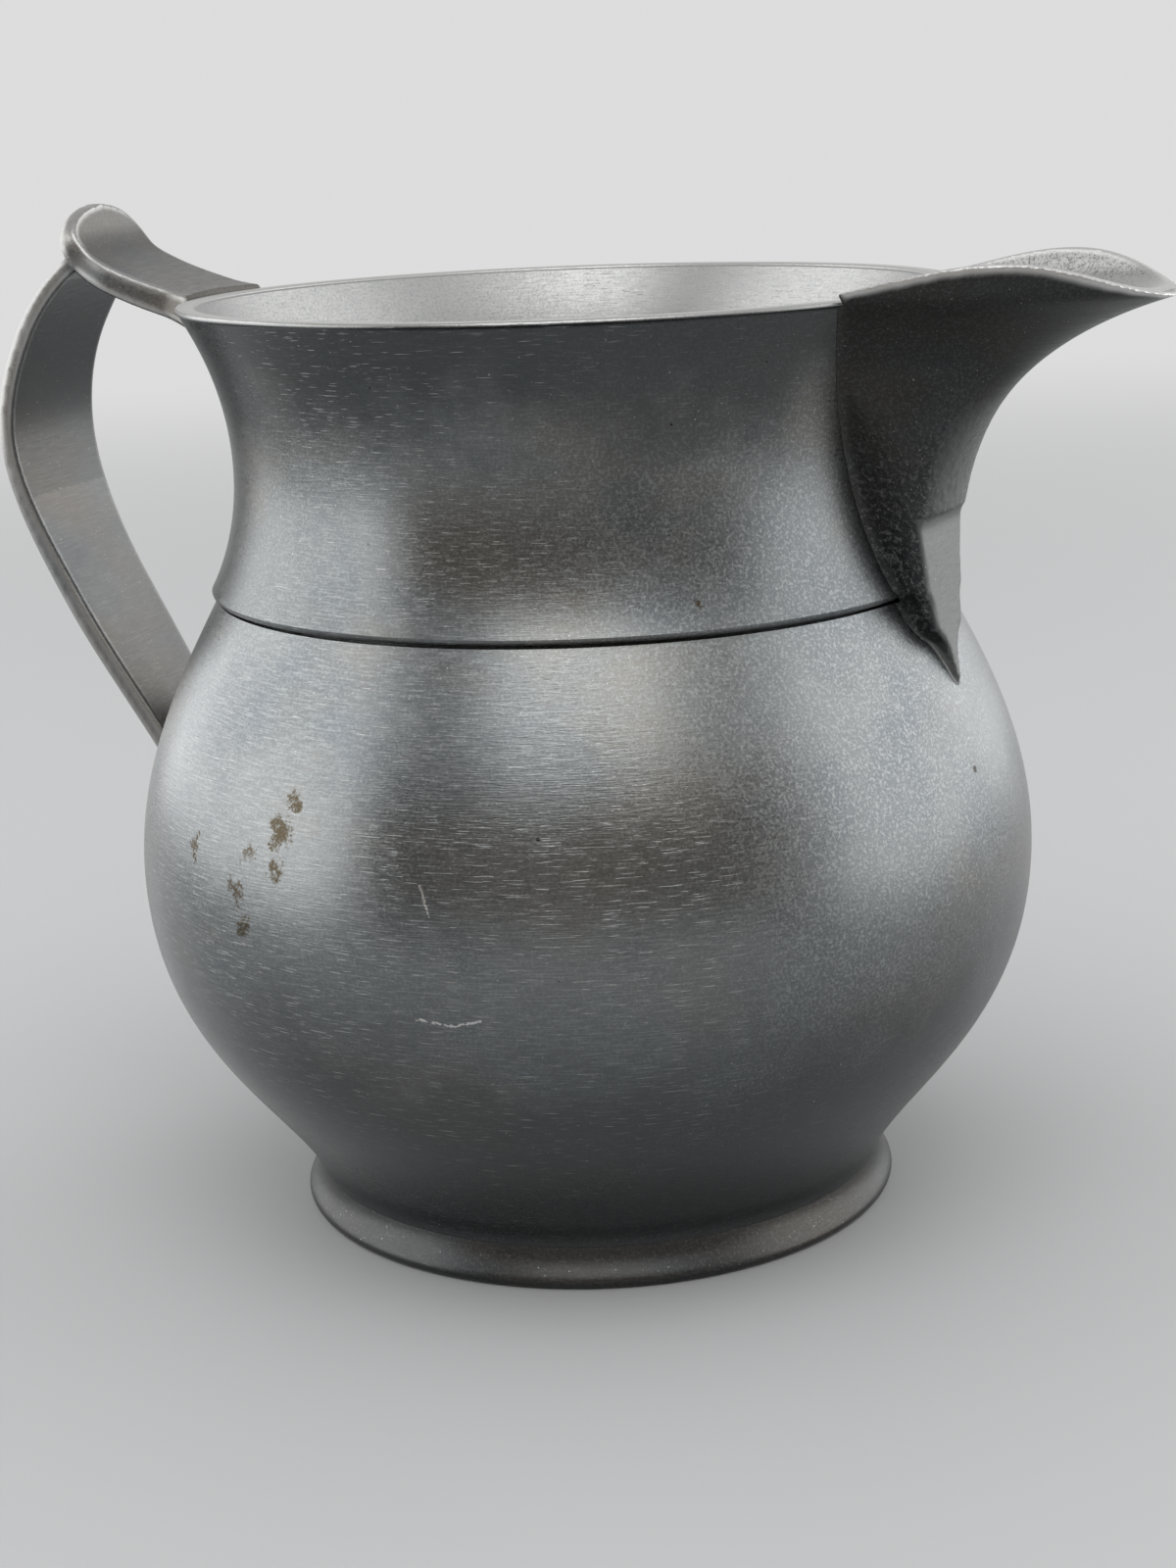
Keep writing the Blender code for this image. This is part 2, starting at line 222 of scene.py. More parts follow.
# Light and floor. Directions are degrees from the camera's side of the pitcher.
WORLD_LEVEL = 0.72
FLOOR_RADIUS = 3.0
FLOOR_SEGMENTS = 96
MATT_ROUGHNESS = 0.6
FLOOR_COLOUR = (0.44, 0.445, 0.45, 1.0)
FLOOR_FADE = (0.45, 1.5)
SOFTBOX_DIRECTIONS = (-102.0, 102.0)
SOFTBOX_DISTANCE = 0.80
SOFTBOX_WIDTH = 1.40
SOFTBOX_HEIGHT = 0.90
SOFTBOX_RADIANCE = 1.6
FRONT_LIGHT_ELEVATION = math.radians(58.0)
FRONT_LIGHT_DISTANCE = 0.95
FRONT_LIGHT_SIZE = 0.75
FRONT_LIGHT_RADIANCE = 2.1
SCREEN_RADIUS = 1.5
SCREEN_HEIGHT = 0.85
SCREEN_SPAN = 58.0
SCREEN_COLUMNS = 33
SCREEN_COLOUR = (0.42, 0.375, 0.335, 1.0)


def bezier(curve, count):
    """Points of a cubic Bezier, both ends included."""
    a, b, c, d = (np.array(point, float) for point in curve)
    t = np.linspace(0.0, 1.0, count)[:, None]
    return (1 - t) ** 3 * a + 3 * (1 - t) ** 2 * t * b + 3 * (1 - t) * t**2 * c + t**3 * d


def chain(first, second, count=CURVE_POINTS):
    """Two Beziers that share an end, as one row of points."""
    return np.vstack([bezier(first, count), bezier(second, count)[1:]])


def shifted(points, distance):
    """A row of points moved to the right of its direction of travel."""
    along = np.gradient(points, axis=0)
    along /= np.linalg.norm(along, axis=1)[:, None]
    return points + distance * np.stack([along[:, 1], -along[:, 0]], axis=1)


def corner(centre, radius, start, end, count=7):
    """Arc of a rounded corner, with angles in degrees."""
    angles = np.radians(np.linspace(start, end, count))
    return np.stack([centre[0] + radius * np.cos(angles), centre[1] + radius * np.sin(angles)], axis=1)


def spread(values, count):
    """Sizes at even stations along a path, eased from one to the next."""
    share = np.linspace(0.0, len(values) - 1.0, count)
    below = np.minimum(share.astype(int), len(values) - 2)
    ease = share - below
    ease = ease * ease * (3.0 - 2.0 * ease)
    values = np.array(values)
    return values[below] * (1.0 - ease) + values[below + 1] * ease


def add_object(name, mesh):
    obj = bpy.data.objects.new(name, mesh)
    bpy.context.scene.collection.objects.link(obj)
    return obj


def turned(name, profile, closed):
    """A Screw of a profile whose outer side runs from top to bottom."""
    points = [(radius * MM, 0.0, height * MM) for radius, height in profile]
    edges = [(i, i + 1) for i in range(len(points) - 1)]
    if closed:
        edges.append((len(points) - 1, 0))
    mesh = bpy.data.meshes.new(name)
    mesh.from_pydata(points, edges, [])
    obj = add_object(name, mesh)
    screw = obj.modifiers.new("turn", "SCREW")
    screw.axis = "Z"
    screw.steps = TURN_STEPS
    screw.render_steps = TURN_STEPS
    screw.use_merge_vertices = True
    screw.merge_threshold = TURN_MERGE * MM
    return obj


def lofted(name, rings):
    """A closed skin through rings of equal count, given in millimetres, with a cap at each end."""
    shape = bmesh.new()
    rows = [[shape.verts.new([value * MM for value in point]) for point in ring] for ring in rings]
    for row, following in zip(rows, rows[1:]):
        for i in range(len(row)):
            j = (i + 1) % len(row)
            shape.faces.new((row[i], row[j], following[j], following[i]))
    shape.faces.new(rows[0])
    shape.faces.new(rows[-1])
    bmesh.ops.recalc_face_normals(shape, faces=shape.faces[:])
    mesh = bpy.data.meshes.new(name)
    shape.to_mesh(mesh)
    shape.free()
    return add_object(name, mesh)


def cut(obj, tool, operation="DIFFERENCE"):
    boolean = obj.modifiers.new(operation.lower() + "_" + tool.name, "BOOLEAN")
    boolean.operation = operation
    boolean.object = tool
    boolean.solver = "MANIFOLD"


def even_out(obj):
    """Remeshes a cut piece evenly, so that its edges get the soft rounding of worn castings."""
    remesh = obj.modifiers.new("even_mesh", "REMESH")
    remesh.mode = "VOXEL"
    remesh.voxel_size = VOXEL * MM
    smooth = obj.modifiers.new("worn_edges", "SMOOTH")
    smooth.factor = 0.5
    smooth.iterations = SMOOTH_ROUNDS
    bake(obj)


def read_mesh(mesh):
    """The places and normals of a mesh's vertices."""
    places = np.empty(len(mesh.vertices) * 3)
    normals = np.empty(len(mesh.vertices) * 3)
    mesh.vertices.foreach_get("co", places)
    mesh.vertex_normals.foreach_get("vector", normals)
    return places.reshape(-1, 3), normals.reshape(-1, 3)


def write_mesh(mesh, places):
    mesh.vertices.foreach_set("co", places.ravel())
    mesh.update()


def neighbours(mesh):
    """A function that gives each vertex the mean of its neighbours' values."""
    ends = np.empty(len(mesh.edges) * 2, np.int32)
    mesh.edges.foreach_get("vertices", ends)
    starts = ends.reshape(-1, 2)[:, ::-1].ravel()
    shares = np.bincount(ends)

    def mean(values):
        return np.bincount(ends, values[starts]) / shares

    return mean


def hollowness(places, normals, mean):
    """How far the mean of its neighbours lies above each vertex."""
    middle = np.stack([mean(places[:, axis]) for axis in range(3)], axis=1)
    return np.sum((middle - places) * normals, axis=1)


def fill_creases(obj, rounds, share=1.0):
    """Raises hollow corners towards the mean of their neighbours, which leaves a fillet in each."""
    mean = neighbours(obj.data)
    for _ in range(rounds):
        places, normals = read_mesh(obj.data)
        rise = np.maximum(hollowness(places, normals, mean), 0.0) * share / 2
        write_mesh(obj.data, places + normals * rise[:, None])


def mark(obj, name, values):
    """Keeps a value between 0 and 1 for each vertex, for the material to read."""
    layer = obj.data.attributes.new(name, "FLOAT", "POINT")
    layer.data.foreach_set("value", np.clip(values, 0.0, 1.0).astype(np.float32))


def body_outline():
    """The outside of bowl and collar, from the foot up to the rim."""
    return np.vstack([chain(BOWL_LOWER, BOWL_UPPER), chain(COLLAR_LOWER, COLLAR_UPPER)])


def off_body(places):
    """How many millimetres outside the body's wall each place is, between 0 and 1."""
    outline = body_outline()
    wall = np.interp(places[:, 2] / MM, outline[:, 1], outline[:, 0])
    return np.clip(np.hypot(places[:, 0], places[:, 1]) / MM - wall - FILLET_REACH, 0.0, 1.0)


def mark_worn_edges(obj, edges_from, top_from):
    """Marks the rounded outer edges, where hands and cloths rub, but not those that run out on the body.

    Edges are marked from one height upwards, and faces that look up from another.
    """
    mean = neighbours(obj.data)
    places, normals = read_mesh(obj.data)
    bulge = -hollowness(places, normals, mean) / (VOXEL * MM)
    for _ in range(EDGE_SPREAD):
        bulge = mean(bulge)
    heights = places[:, 2] / MM
    edges = (bulge - EDGE_WEAR[0]) / (EDGE_WEAR[1] - EDGE_WEAR[0])
    edges *= off_body(places) * np.clip(heights - edges_from, 0.0, 1.0)
    tops = (normals[:, 2] - TOP_FACING) / (1.0 - TOP_FACING) * (heights > top_from)
    mark(obj, "worn", np.maximum(edges, tops))


def outwardness(places, normals):
    """1 where a surface faces straight away from the body's axis, and -1 where it faces the axis."""
    return np.sum(places[:, :2] * normals[:, :2], axis=1) / np.linalg.norm(places[:, :2], axis=1).clip(MM)


def mark_turned_piece(obj, worn_from):
    """Marks the inside of a turned piece, and its rubbed top from a height upwards."""
    places, normals = read_mesh(obj.data)
    mark(obj, "inner", outwardness(places, normals) < 0.0)
    mark(obj, "worn", (places[:, 2] / MM - worn_from) / RIM_ROUNDING)


def bake(obj):
    """Puts the evaluated mesh in place of the modifiers and shades it smooth up to sharp edges."""
    graph = bpy.context.evaluated_depsgraph_get()
    mesh = bpy.data.meshes.new_from_object(obj.evaluated_get(graph))
    obj.modifiers.clear()
    obj.data = mesh
    mesh.shade_smooth()
    mesh.set_sharp_from_angle(angle=SHARP_ANGLE)
    return obj


def drop_spare_vertices(obj):
    """Takes out the tiny edges, and the vertices with two edges only, that a cut leaves."""
    shape = bmesh.new()
    shape.from_mesh(obj.data)
    bmesh.ops.dissolve_degenerate(shape, dist=LEAST_EDGE * MM, edges=shape.edges[:])
    spare = [vertex for vertex in shape.verts if len(vertex.link_edges) == 2]
    bmesh.ops.dissolve_verts(shape, verts=spare)
    shape.to_mesh(obj.data)
    shape.free()


def make_bowl():
    outside = chain(BOWL_LOWER, BOWL_UPPER)
    inside = shifted(outside, -WALL)
    cove = bezier(BOWL_COVE, COVE_POINTS)
    outside = np.vstack([cove, outside[outside[:, 1] > cove[-1][1] + COVE_CLEARANCE]])
    above_fillet = inside[:, 1] > FLOOR_INSIDE + FLOOR_FILLET
    below_lip = inside[:, 1] < LAP_TOP - LIP_HEIGHT
    inside = inside[above_fillet & below_lip]
    floor_edge = (inside[0][0] - FLOOR_FILLET, FLOOR_INSIDE)
    floor_turn = (inside[0][0] - FLOOR_FILLET / 4, FLOOR_INSIDE)
    profile = [(0.0, FLOOR_INSIDE)]
    profile += list(bezier((floor_edge, floor_turn, floor_turn, inside[0]), FILLET_POINTS))
    profile += list(inside[1:])
    profile += [(LAP_INSIDE, LAP_TOP - LIP_HEIGHT), (LAP_INSIDE, LAP_TOP), (LAP_OUTSIDE, LAP_TOP)]
    profile += [(LAP_OUTSIDE, outside[-1][1])]
    profile += list(outside[::-1])
    profile += [(SEAT_RADIUS - SEAM_GAP, BOWL_COVE[0][1]), (SEAT_RADIUS - SEAM_GAP, FLOOR_UNDERSIDE)]
    profile += [(0.0, FLOOR_UNDERSIDE)]
    bowl = bake(turned("pitcher_bowl", profile, False))
    mark_turned_piece(bowl, RIM_HEIGHT)
    return bowl


def make_foot_ring():
    top = BOWL_COVE[0][1] - JOINT_LINE
    profile = list(np.minimum(chain(FOOT_LIP, FOOT_FLARE, FOOT_POINTS)[::-1], (np.inf, top)))
    profile += [(FOOT_CONTACT_INSIDE, 0.0), FOOT_INSIDE, (SEAT_RADIUS, top)]
    return bake(turned("pitcher_foot_ring", profile, True))


def make_collar(passage):
    outside = chain(COLLAR_LOWER, COLLAR_UPPER)[::-1]
    rim = RIM_RADIUS - RIM_ROUNDING
    bottom = BOWL_UPPER[-1][1] + SEAM_GAP
    edge = COLLAR_LOWER[0][0] - COLLAR_EDGE_ROUNDING
    inside = chain(COLLAR_INSIDE_UPPER, COLLAR_INSIDE_LOWER)[::-1]
    profile = list(corner((RIM_INSIDE + RIM_ROUNDING, RIM_HEIGHT - RIM_ROUNDING), RIM_ROUNDING, 160.0, 90.0))
    profile += list(corner((rim, RIM_HEIGHT - RIM_ROUNDING), RIM_ROUNDING, 90.0, 0.0))
    profile += list(outside[1:])
    profile += list(corner((edge, bottom + COLLAR_EDGE_ROUNDING), COLLAR_EDGE_ROUNDING, 0.0, -90.0)[1:])
    profile += [(LAP_OUTSIDE + SEAM_GAP, bottom), (LAP_OUTSIDE + SEAM_GAP, LAP_TOP + SEAM_GAP)]
    profile += list(inside[:-1])
    collar = turned("pitcher_neck_collar", profile, True)
    cut(collar, passage)
    bake(collar)
    mark_turned_piece(collar, RIM_HEIGHT - RIM_ROUNDING)
    return collar


def make_body_blank():
    """The outside of bowl and collar with a hairline added for the joints, carried up past the rim."""
    bowl = shifted(chain(BOWL_LOWER, BOWL_UPPER), JOINT_LINE)
    collar = shifted(chain(COLLAR_LOWER, COLLAR_UPPER), JOINT_LINE)
    above = SPOUT_TOP + CUT_CLEARANCE
    rim = RIM_RADIUS + JOINT_LINE
    profile = [(0.0, above), (rim, above), (rim, COLLAR_UPPER[-1][1])]
    profile += list(collar[-2::-1])
    profile += [(collar[0][0], bowl[-1][1])]
    profile += list(bowl[::-1])
    profile += [(0.0, bowl[0][1])]
    return bake(turned("body_blank", profile, False))


def make_crease_base():
    """A sector of the body's wall, which the spout is joined to before the crease between them is filled.

    It is set in at the seam, so that nothing of it is left there once the body is cut away.
    """
    outside = body_outline()
    outside = outside[outside[:, 1] > CREASE_BOTTOM]
    outside[:, 0] -= SEAM_INSET * np.exp(-((outside[:, 1] - BOWL_UPPER[-1][1]) ** 2))
    profile = np.vstack([outside, outside[::-1] - (CREASE_DEPTH, 0.0)])
    rings = []
    for angle in np.radians(np.linspace(-CREASE_SPAN, CREASE_SPAN, CREASE_STEPS)):
        rings.append([(radius * math.cos(angle), radius * math.sin(angle), z) for radius, z in profile])
    return lofted("crease_base", rings)


def spout_section(height, half_width, reach, root):
    """Plan of the spout at one height: a box low down that turns into a pointed beak higher up."""
    blend = np.clip((BEAK_BOTTOM - height) / (BEAK_BOTTOM - BOX_TOP), 0.0, 1.0)
    power = 1.0 + (BOX_POWER - 1.0) * blend * blend * (3.0 - 2.0 * blend)
    along = np.sin(np.linspace(0.0, math.pi / 2, FLANK_POINTS))
    across = half_width * np.sqrt(np.clip(1.0 - along**power, 0.0, 1.0))
    near = [(root + (reach - root) * s, -t, height) for s, t in zip(along, across)]
    far = [(x, -y, z) for x, y, z in near[-2::-1]]
    return [(ROOT_REACH, -half_width, height), *near, *far, (ROOT_REACH, half_width, height)]


def carried_on(curve, heights):
    """A curve's distance out at some heights. Past its top it still opens, ever less."""
    top = curve[-1] - curve[-2]
    past = np.maximum(heights - curve[-1][1], 0.0)
    opening = top[0] / top[1] * FLARE_LENGTH * (1.0 - np.exp(-past / FLARE_LENGTH))
    return np.interp(heights, curve[:, 1], curve[:, 0]) + opening


def body_radius(heights):
    return carried_on(body_outline(), heights)


def crease_half_width(heights):
    """Half the spout's width where it leaves the body."""
    crease = np.vstack([bezier(CREASE_TIP, CURVE_POINTS), chain(CREASE_TAIL, CREASE_RISE)])
    return carried_on(crease, heights)


def make_spout_form(name, bottom, side_wall, keel_up, keel_in):
    """The spout's loft, thinned by a wall for the passage inside it."""
    keel = chain(KEEL_TAIL, KEEL_RISE)
    shank = np.linspace(bottom, BEAK_BOTTOM, SHANK_SECTIONS)
    beak = np.linspace(BEAK_BOTTOM, KEEL_RISE[-1][1] + keel_up, BEAK_SECTIONS)
    above = np.linspace(beak[-1], SPOUT_TOP, EDGE_SECTIONS)
    rings = []
    for height in [*shank, *beak[1:], *above[1:]]:
        half_width = crease_half_width(height) - side_wall
        reach = carried_on(keel, height - keel_up) - keel_in
        root = math.sqrt(body_radius(height) ** 2 - half_width**2)
        rings.append(spout_section(height, half_width, reach, min(root, reach - LEAST_DEPTH)))
    return lofted(name, rings)


def prism(name, outline, half_width):
    """An outline in the XZ plane carried to both sides along Y."""
    return lofted(name, [[(x, side, z) for x, z in outline] for side in (-half_width, half_width)])


def near_crease(obj):
    """1 on the spout and close beside it, and 0 further round the body."""
    places = read_mesh(obj.data)[0] / MM
    beside = np.abs(places[:, 1]) - crease_half_width(places[:, 2])
    return np.clip(1.0 - beside / FILLET_WIDTH, 0.0, 1.0)


def facet_share(places):
    """1 on the keel's filed facet and 0 away from it."""
    face = bezier(FACET_LINE, CURVE_POINTS)
    heights = places[:, 2] / MM
    off = np.abs(places[:, 0] / MM - np.interp(heights, face[:, 1], face[:, 0]))
    share = np.clip(2.0 - off / FACET_MARGIN, 0.0, 1.0) * np.clip(heights - FACET_BOTTOM, 0.0, 1.0)
    return share * (heights < FACET_LINE[-1][1] - FACET_MARGIN)


def in_channel(places, normals):
    """True for the vertices of the spout's inside."""
    to_middle = -np.sign(places[:, 1]) * normals[:, 1]
    faces_in = (to_middle > CHANNEL_SIDE_FACING) | (normals[:, 2] > CHANNEL_FLOOR_FACING)
    return faces_in & (places[:, 2] / MM > PASSAGE_FLOOR - VOXEL)


def ripple(obj):
    """Raises the cast skin on the spout's root, but neither on the filed facet nor on the body beside it."""
    places, normals = read_mesh(obj.data)
    fade = np.clip((BEAK_BOTTOM - places[:, 2] / MM) / (BEAK_BOTTOM - BOX_TOP), 0.0, 1.0)
    fade *= off_body(places) * (1.0 - facet_share(places)) * ~in_channel(places, normals)
    waves = [noise.fractal(place / (RIPPLE_LENGTH * MM), 1.0, 2.0, 2) for place in map(Vector, places)]
    write_mesh(obj.data, places + normals * (RIPPLE_HEIGHT * MM * fade * np.array(waves))[:, None])


def mark_spout(obj):
    """Marks the channel's inside, and the filed facet, keel and tail."""
    places, normals = read_mesh(obj.data)
    mark(obj, "inner", in_channel(places, normals))
    keel = (normals[:, 0] - KEEL_FACING) / (1.0 - KEEL_FACING)
    tail = TAIL_TOP - places[:, 2] / MM
    mark(obj, "filed", np.maximum.reduce([facet_share(places), keel, tail]))


def make_spout(passage, blank):
    spout = make_spout_form("pitcher_spout", KEEL_TAIL[0][1], 0.0, 0.0, 0.0)
    edge = chain(SPOUT_EDGE_BACK, SPOUT_EDGE_FRONT)
    over = SPOUT_TOP + CUT_CLEARANCE
    outline = [*edge, (BEYOND_BEAK, edge[-1][1]), (BEYOND_BEAK, over), (edge[0][0], over)]
    trim = prism("spout_edge_trim", outline, RIM_RADIUS)
    face = bezier(FACET_LINE, FACET_POINTS)
    outline = [*face, (BEYOND_BEAK, face[-1][1]), (BEYOND_BEAK, face[0][1])]
    facet = prism("keel_facet_file", outline, FACET_HALF_WIDTH)
    rounding = facet.modifiers.new("file_radius", "BEVEL")
    rounding.width = FACET_ROUNDING * MM
    rounding.segments = FACET_ROUNDING_STEPS
    rounding.limit_method = "ANGLE"
    rounding.angle_limit = FACET_ROUNDING_ANGLE
    base = make_crease_base()
    cut(spout, base, "UNION")
    for tool in (passage, trim, facet):
        cut(spout, tool)
    even_out(spout)
    fill_creases(spout, CREASE_ROUNDS, near_crease(spout))
    ripple(spout)
    cut(spout, blank)
    drop_spare_vertices(bake(spout))
    mark_worn_edges(spout, BEAK_BOTTOM, SPOUT_EDGE_BACK[0][1])
    mark_spout(spout)
    for tool in (base, trim, facet):
        bpy.data.objects.remove(tool)
    return spout


def strap_rings(path, half_widths, thicknesses):
    """Rounded rectangles across a path in the XZ plane, one at each of its points."""
    along = np.gradient(path, axis=0)
    along /= np.linalg.norm(along, axis=1)[:, None]
    rings = []
    for (x, z), (dx, dz), wide, thick in zip(path, along, half_widths, thicknesses):
        side = wide - STRAP_CORNER
        face = thick / 2 - STRAP_CORNER
        loop = [corner((side, face), STRAP_CORNER, 90.0, 0.0, STRAP_CORNER_POINTS)]
        loop += [corner((side, -face), STRAP_CORNER, 0.0, -90.0, STRAP_CORNER_POINTS)]
        loop += [corner((-side, -face), STRAP_CORNER, 270.0, 180.0, STRAP_CORNER_POINTS)]
        loop += [corner((-side, face), STRAP_CORNER, 180.0, 90.0, STRAP_CORNER_POINTS)]
        rings.append([(x - dz * up, across, z + dx * up) for across, up in np.vstack(loop)])
    return rings


def mark_grip_shade(obj):
    """Marks painted shade on the side of the grip that faces the body, more the higher it is, up to the
    strap.
    """
    places, normals = read_mesh(obj.data)
    heights = places[:, 2] / MM
    risen = (heights - GRIP_PAINTED_SHADE[0]) / (GRIP_PAINTED_SHADE[1] - GRIP_PAINTED_SHADE[0])
    below_strap = (normals[:, 2] < STRAP_FACING) & (heights < TOP_STRAP_PATH[-1][1])
    mark(obj, "shaded", -outwardness(places, normals) * risen * below_strap)


def make_handle(blank):
    path = chain(TOP_STRAP_PATH, THUMB_REST_PATH)
    steps = np.linalg.norm(np.diff(path, axis=0), axis=1)
    to_tip = np.concatenate([np.cumsum(steps[::-1])[::-1], [0.0]])
    into_round = np.clip(1.0 - to_tip / THUMB_REST_ROUND, 0.0, TIP_END)
    half_widths = spread(STRAP_HALF_WIDTHS, len(path)) * np.sqrt(1.0 - into_round**2)
    handle = lofted("pitcher_handle", strap_rings(path, half_widths, spread(STRAP_THICKNESSES, len(path))))
    path = chain(GRIP_UPPER_PATH, GRIP_LOWER_PATH)
    sizes = [spread(values, len(path)) for values in (GRIP_HALF_WIDTHS, GRIP_THICKNESSES)]
    grip = lofted("handle_grip", strap_rings(path, *sizes))
    for obj in (handle, grip):
        obj.data.transform(Matrix.Rotation(HANDLE_TURN, 4, "Z"))
    cut(handle, grip, "UNION")
    even_out(handle)
    fill_creases(handle, CORNER_ROUNDS)
    cut(handle, blank)
    drop_spare_vertices(bake(handle))
    mark_worn_edges(handle, 0.0, SPOUT_TOP)
    mark_grip_shade(handle)
    bpy.data.objects.remove(grip)
    return handle


def add(tree, kind, inputs, **settings):
    """A shader node with its settings and inputs, where an input is a value or another node's output."""
    node = tree.nodes.new("ShaderNode" + kind)
    for key, value in settings.items():
        setattr(node, key, value)
    for key, value in inputs.items():
        if isinstance(value, bpy.types.NodeSocket):
            tree.links.new(value, node.inputs[key])
        else:
            node.inputs[key].default_value = value
    return node


def calc(tree, operation, first, second=0.0):
    return add(tree, "Math", {0: first, 1: second}, operation=operation).outputs[0]


def remap(tree, value, low, high, to_low=0.0, to_high=1.0):
    inputs = {"Value": value, "From Min": low, "From Max": high, "To Min": to_low, "To Max": to_high}
    return add(tree, "MapRange", inputs, interpolation_type="SMOOTHSTEP").outputs[0]


def mottle(tree, place, scale, detail=3.0, roughness=0.6):
    inputs = {"Vector": place, "Scale": scale, "Detail": detail, "Roughness": roughness}
    return add(tree, "TexNoise", inputs).outputs["Fac"]


def tint(tree, factor, first, second):
    inputs = {0: factor, 6: first, 7: second}
    return add(tree, "Mix", inputs, data_type="RGBA").outputs[2]


def stretched(tree, place, factors):
    return add(tree, "VectorMath", {0: place, 1: factors}, operation="MULTIPLY").outputs[0]


def near_marks(tree, place, marks):
    """How far inside any of the marks a point is, from 0 outside to 1 at a centre."""
    found = 0.0
    for azimuth, height, size in marks:
        angle = math.radians(azimuth)
        radius = body_radius(height)
        centre = (radius * math.cos(angle), radius * math.sin(angle), height)
        away = add(tree, "VectorMath", {0: place, 1: centre}, operation="DISTANCE").outputs["Value"]
        found = calc(tree, "MAXIMUM", found, remap(tree, away, 0.0, size, 1.0, 0.0))
    return found


def near_lines(tree, round_place, lines, half_width):
    """1 on any of the lines, which are given by their ends, and 0 past their ragged edges."""
    found = 0.0
    wander = mottle(tree, round_place, 1.7, 2.0)
    for ends in lines:
        start, end = (Vector((math.radians(azimuth) * WRAP_RADIUS, height, 0.0)) for azimuth, height in ends)
        run = end - start
        from_start = add(tree, "VectorMath", {0: round_place, 1: start}, operation="SUBTRACT").outputs[0]
        measure = run / run.length_squared
        along = add(tree, "VectorMath", {0: from_start, 1: measure}, operation="DOT_PRODUCT")
        share = add(tree, "Clamp", {"Value": along.outputs["Value"]}).outputs[0]
        foot = add(tree, "VectorMath", {0: run, "Scale": share}, operation="SCALE").outputs[0]
        away = add(tree, "VectorMath", {0: from_start, 1: foot}, operation="DISTANCE").outputs["Value"]
        ragged = calc(tree, "ADD", away, remap(tree, wander, 0.3, 0.7, -half_width, half_width))
        found = calc(tree, "MAXIMUM", found, remap(tree, ragged, half_width / 2, half_width, 1.0, 0.0))
    return found


def wrapped(tree, axes):
    """Distance round the body axis and height, so that a pattern follows the turning of the body."""
    around = calc(tree, "MULTIPLY", calc(tree, "ARCTAN2", axes["Y"], axes["X"]), WRAP_RADIUS)
    return add(tree, "CombineXYZ", {"X": around, "Y": axes["Z"]}).outputs[0]


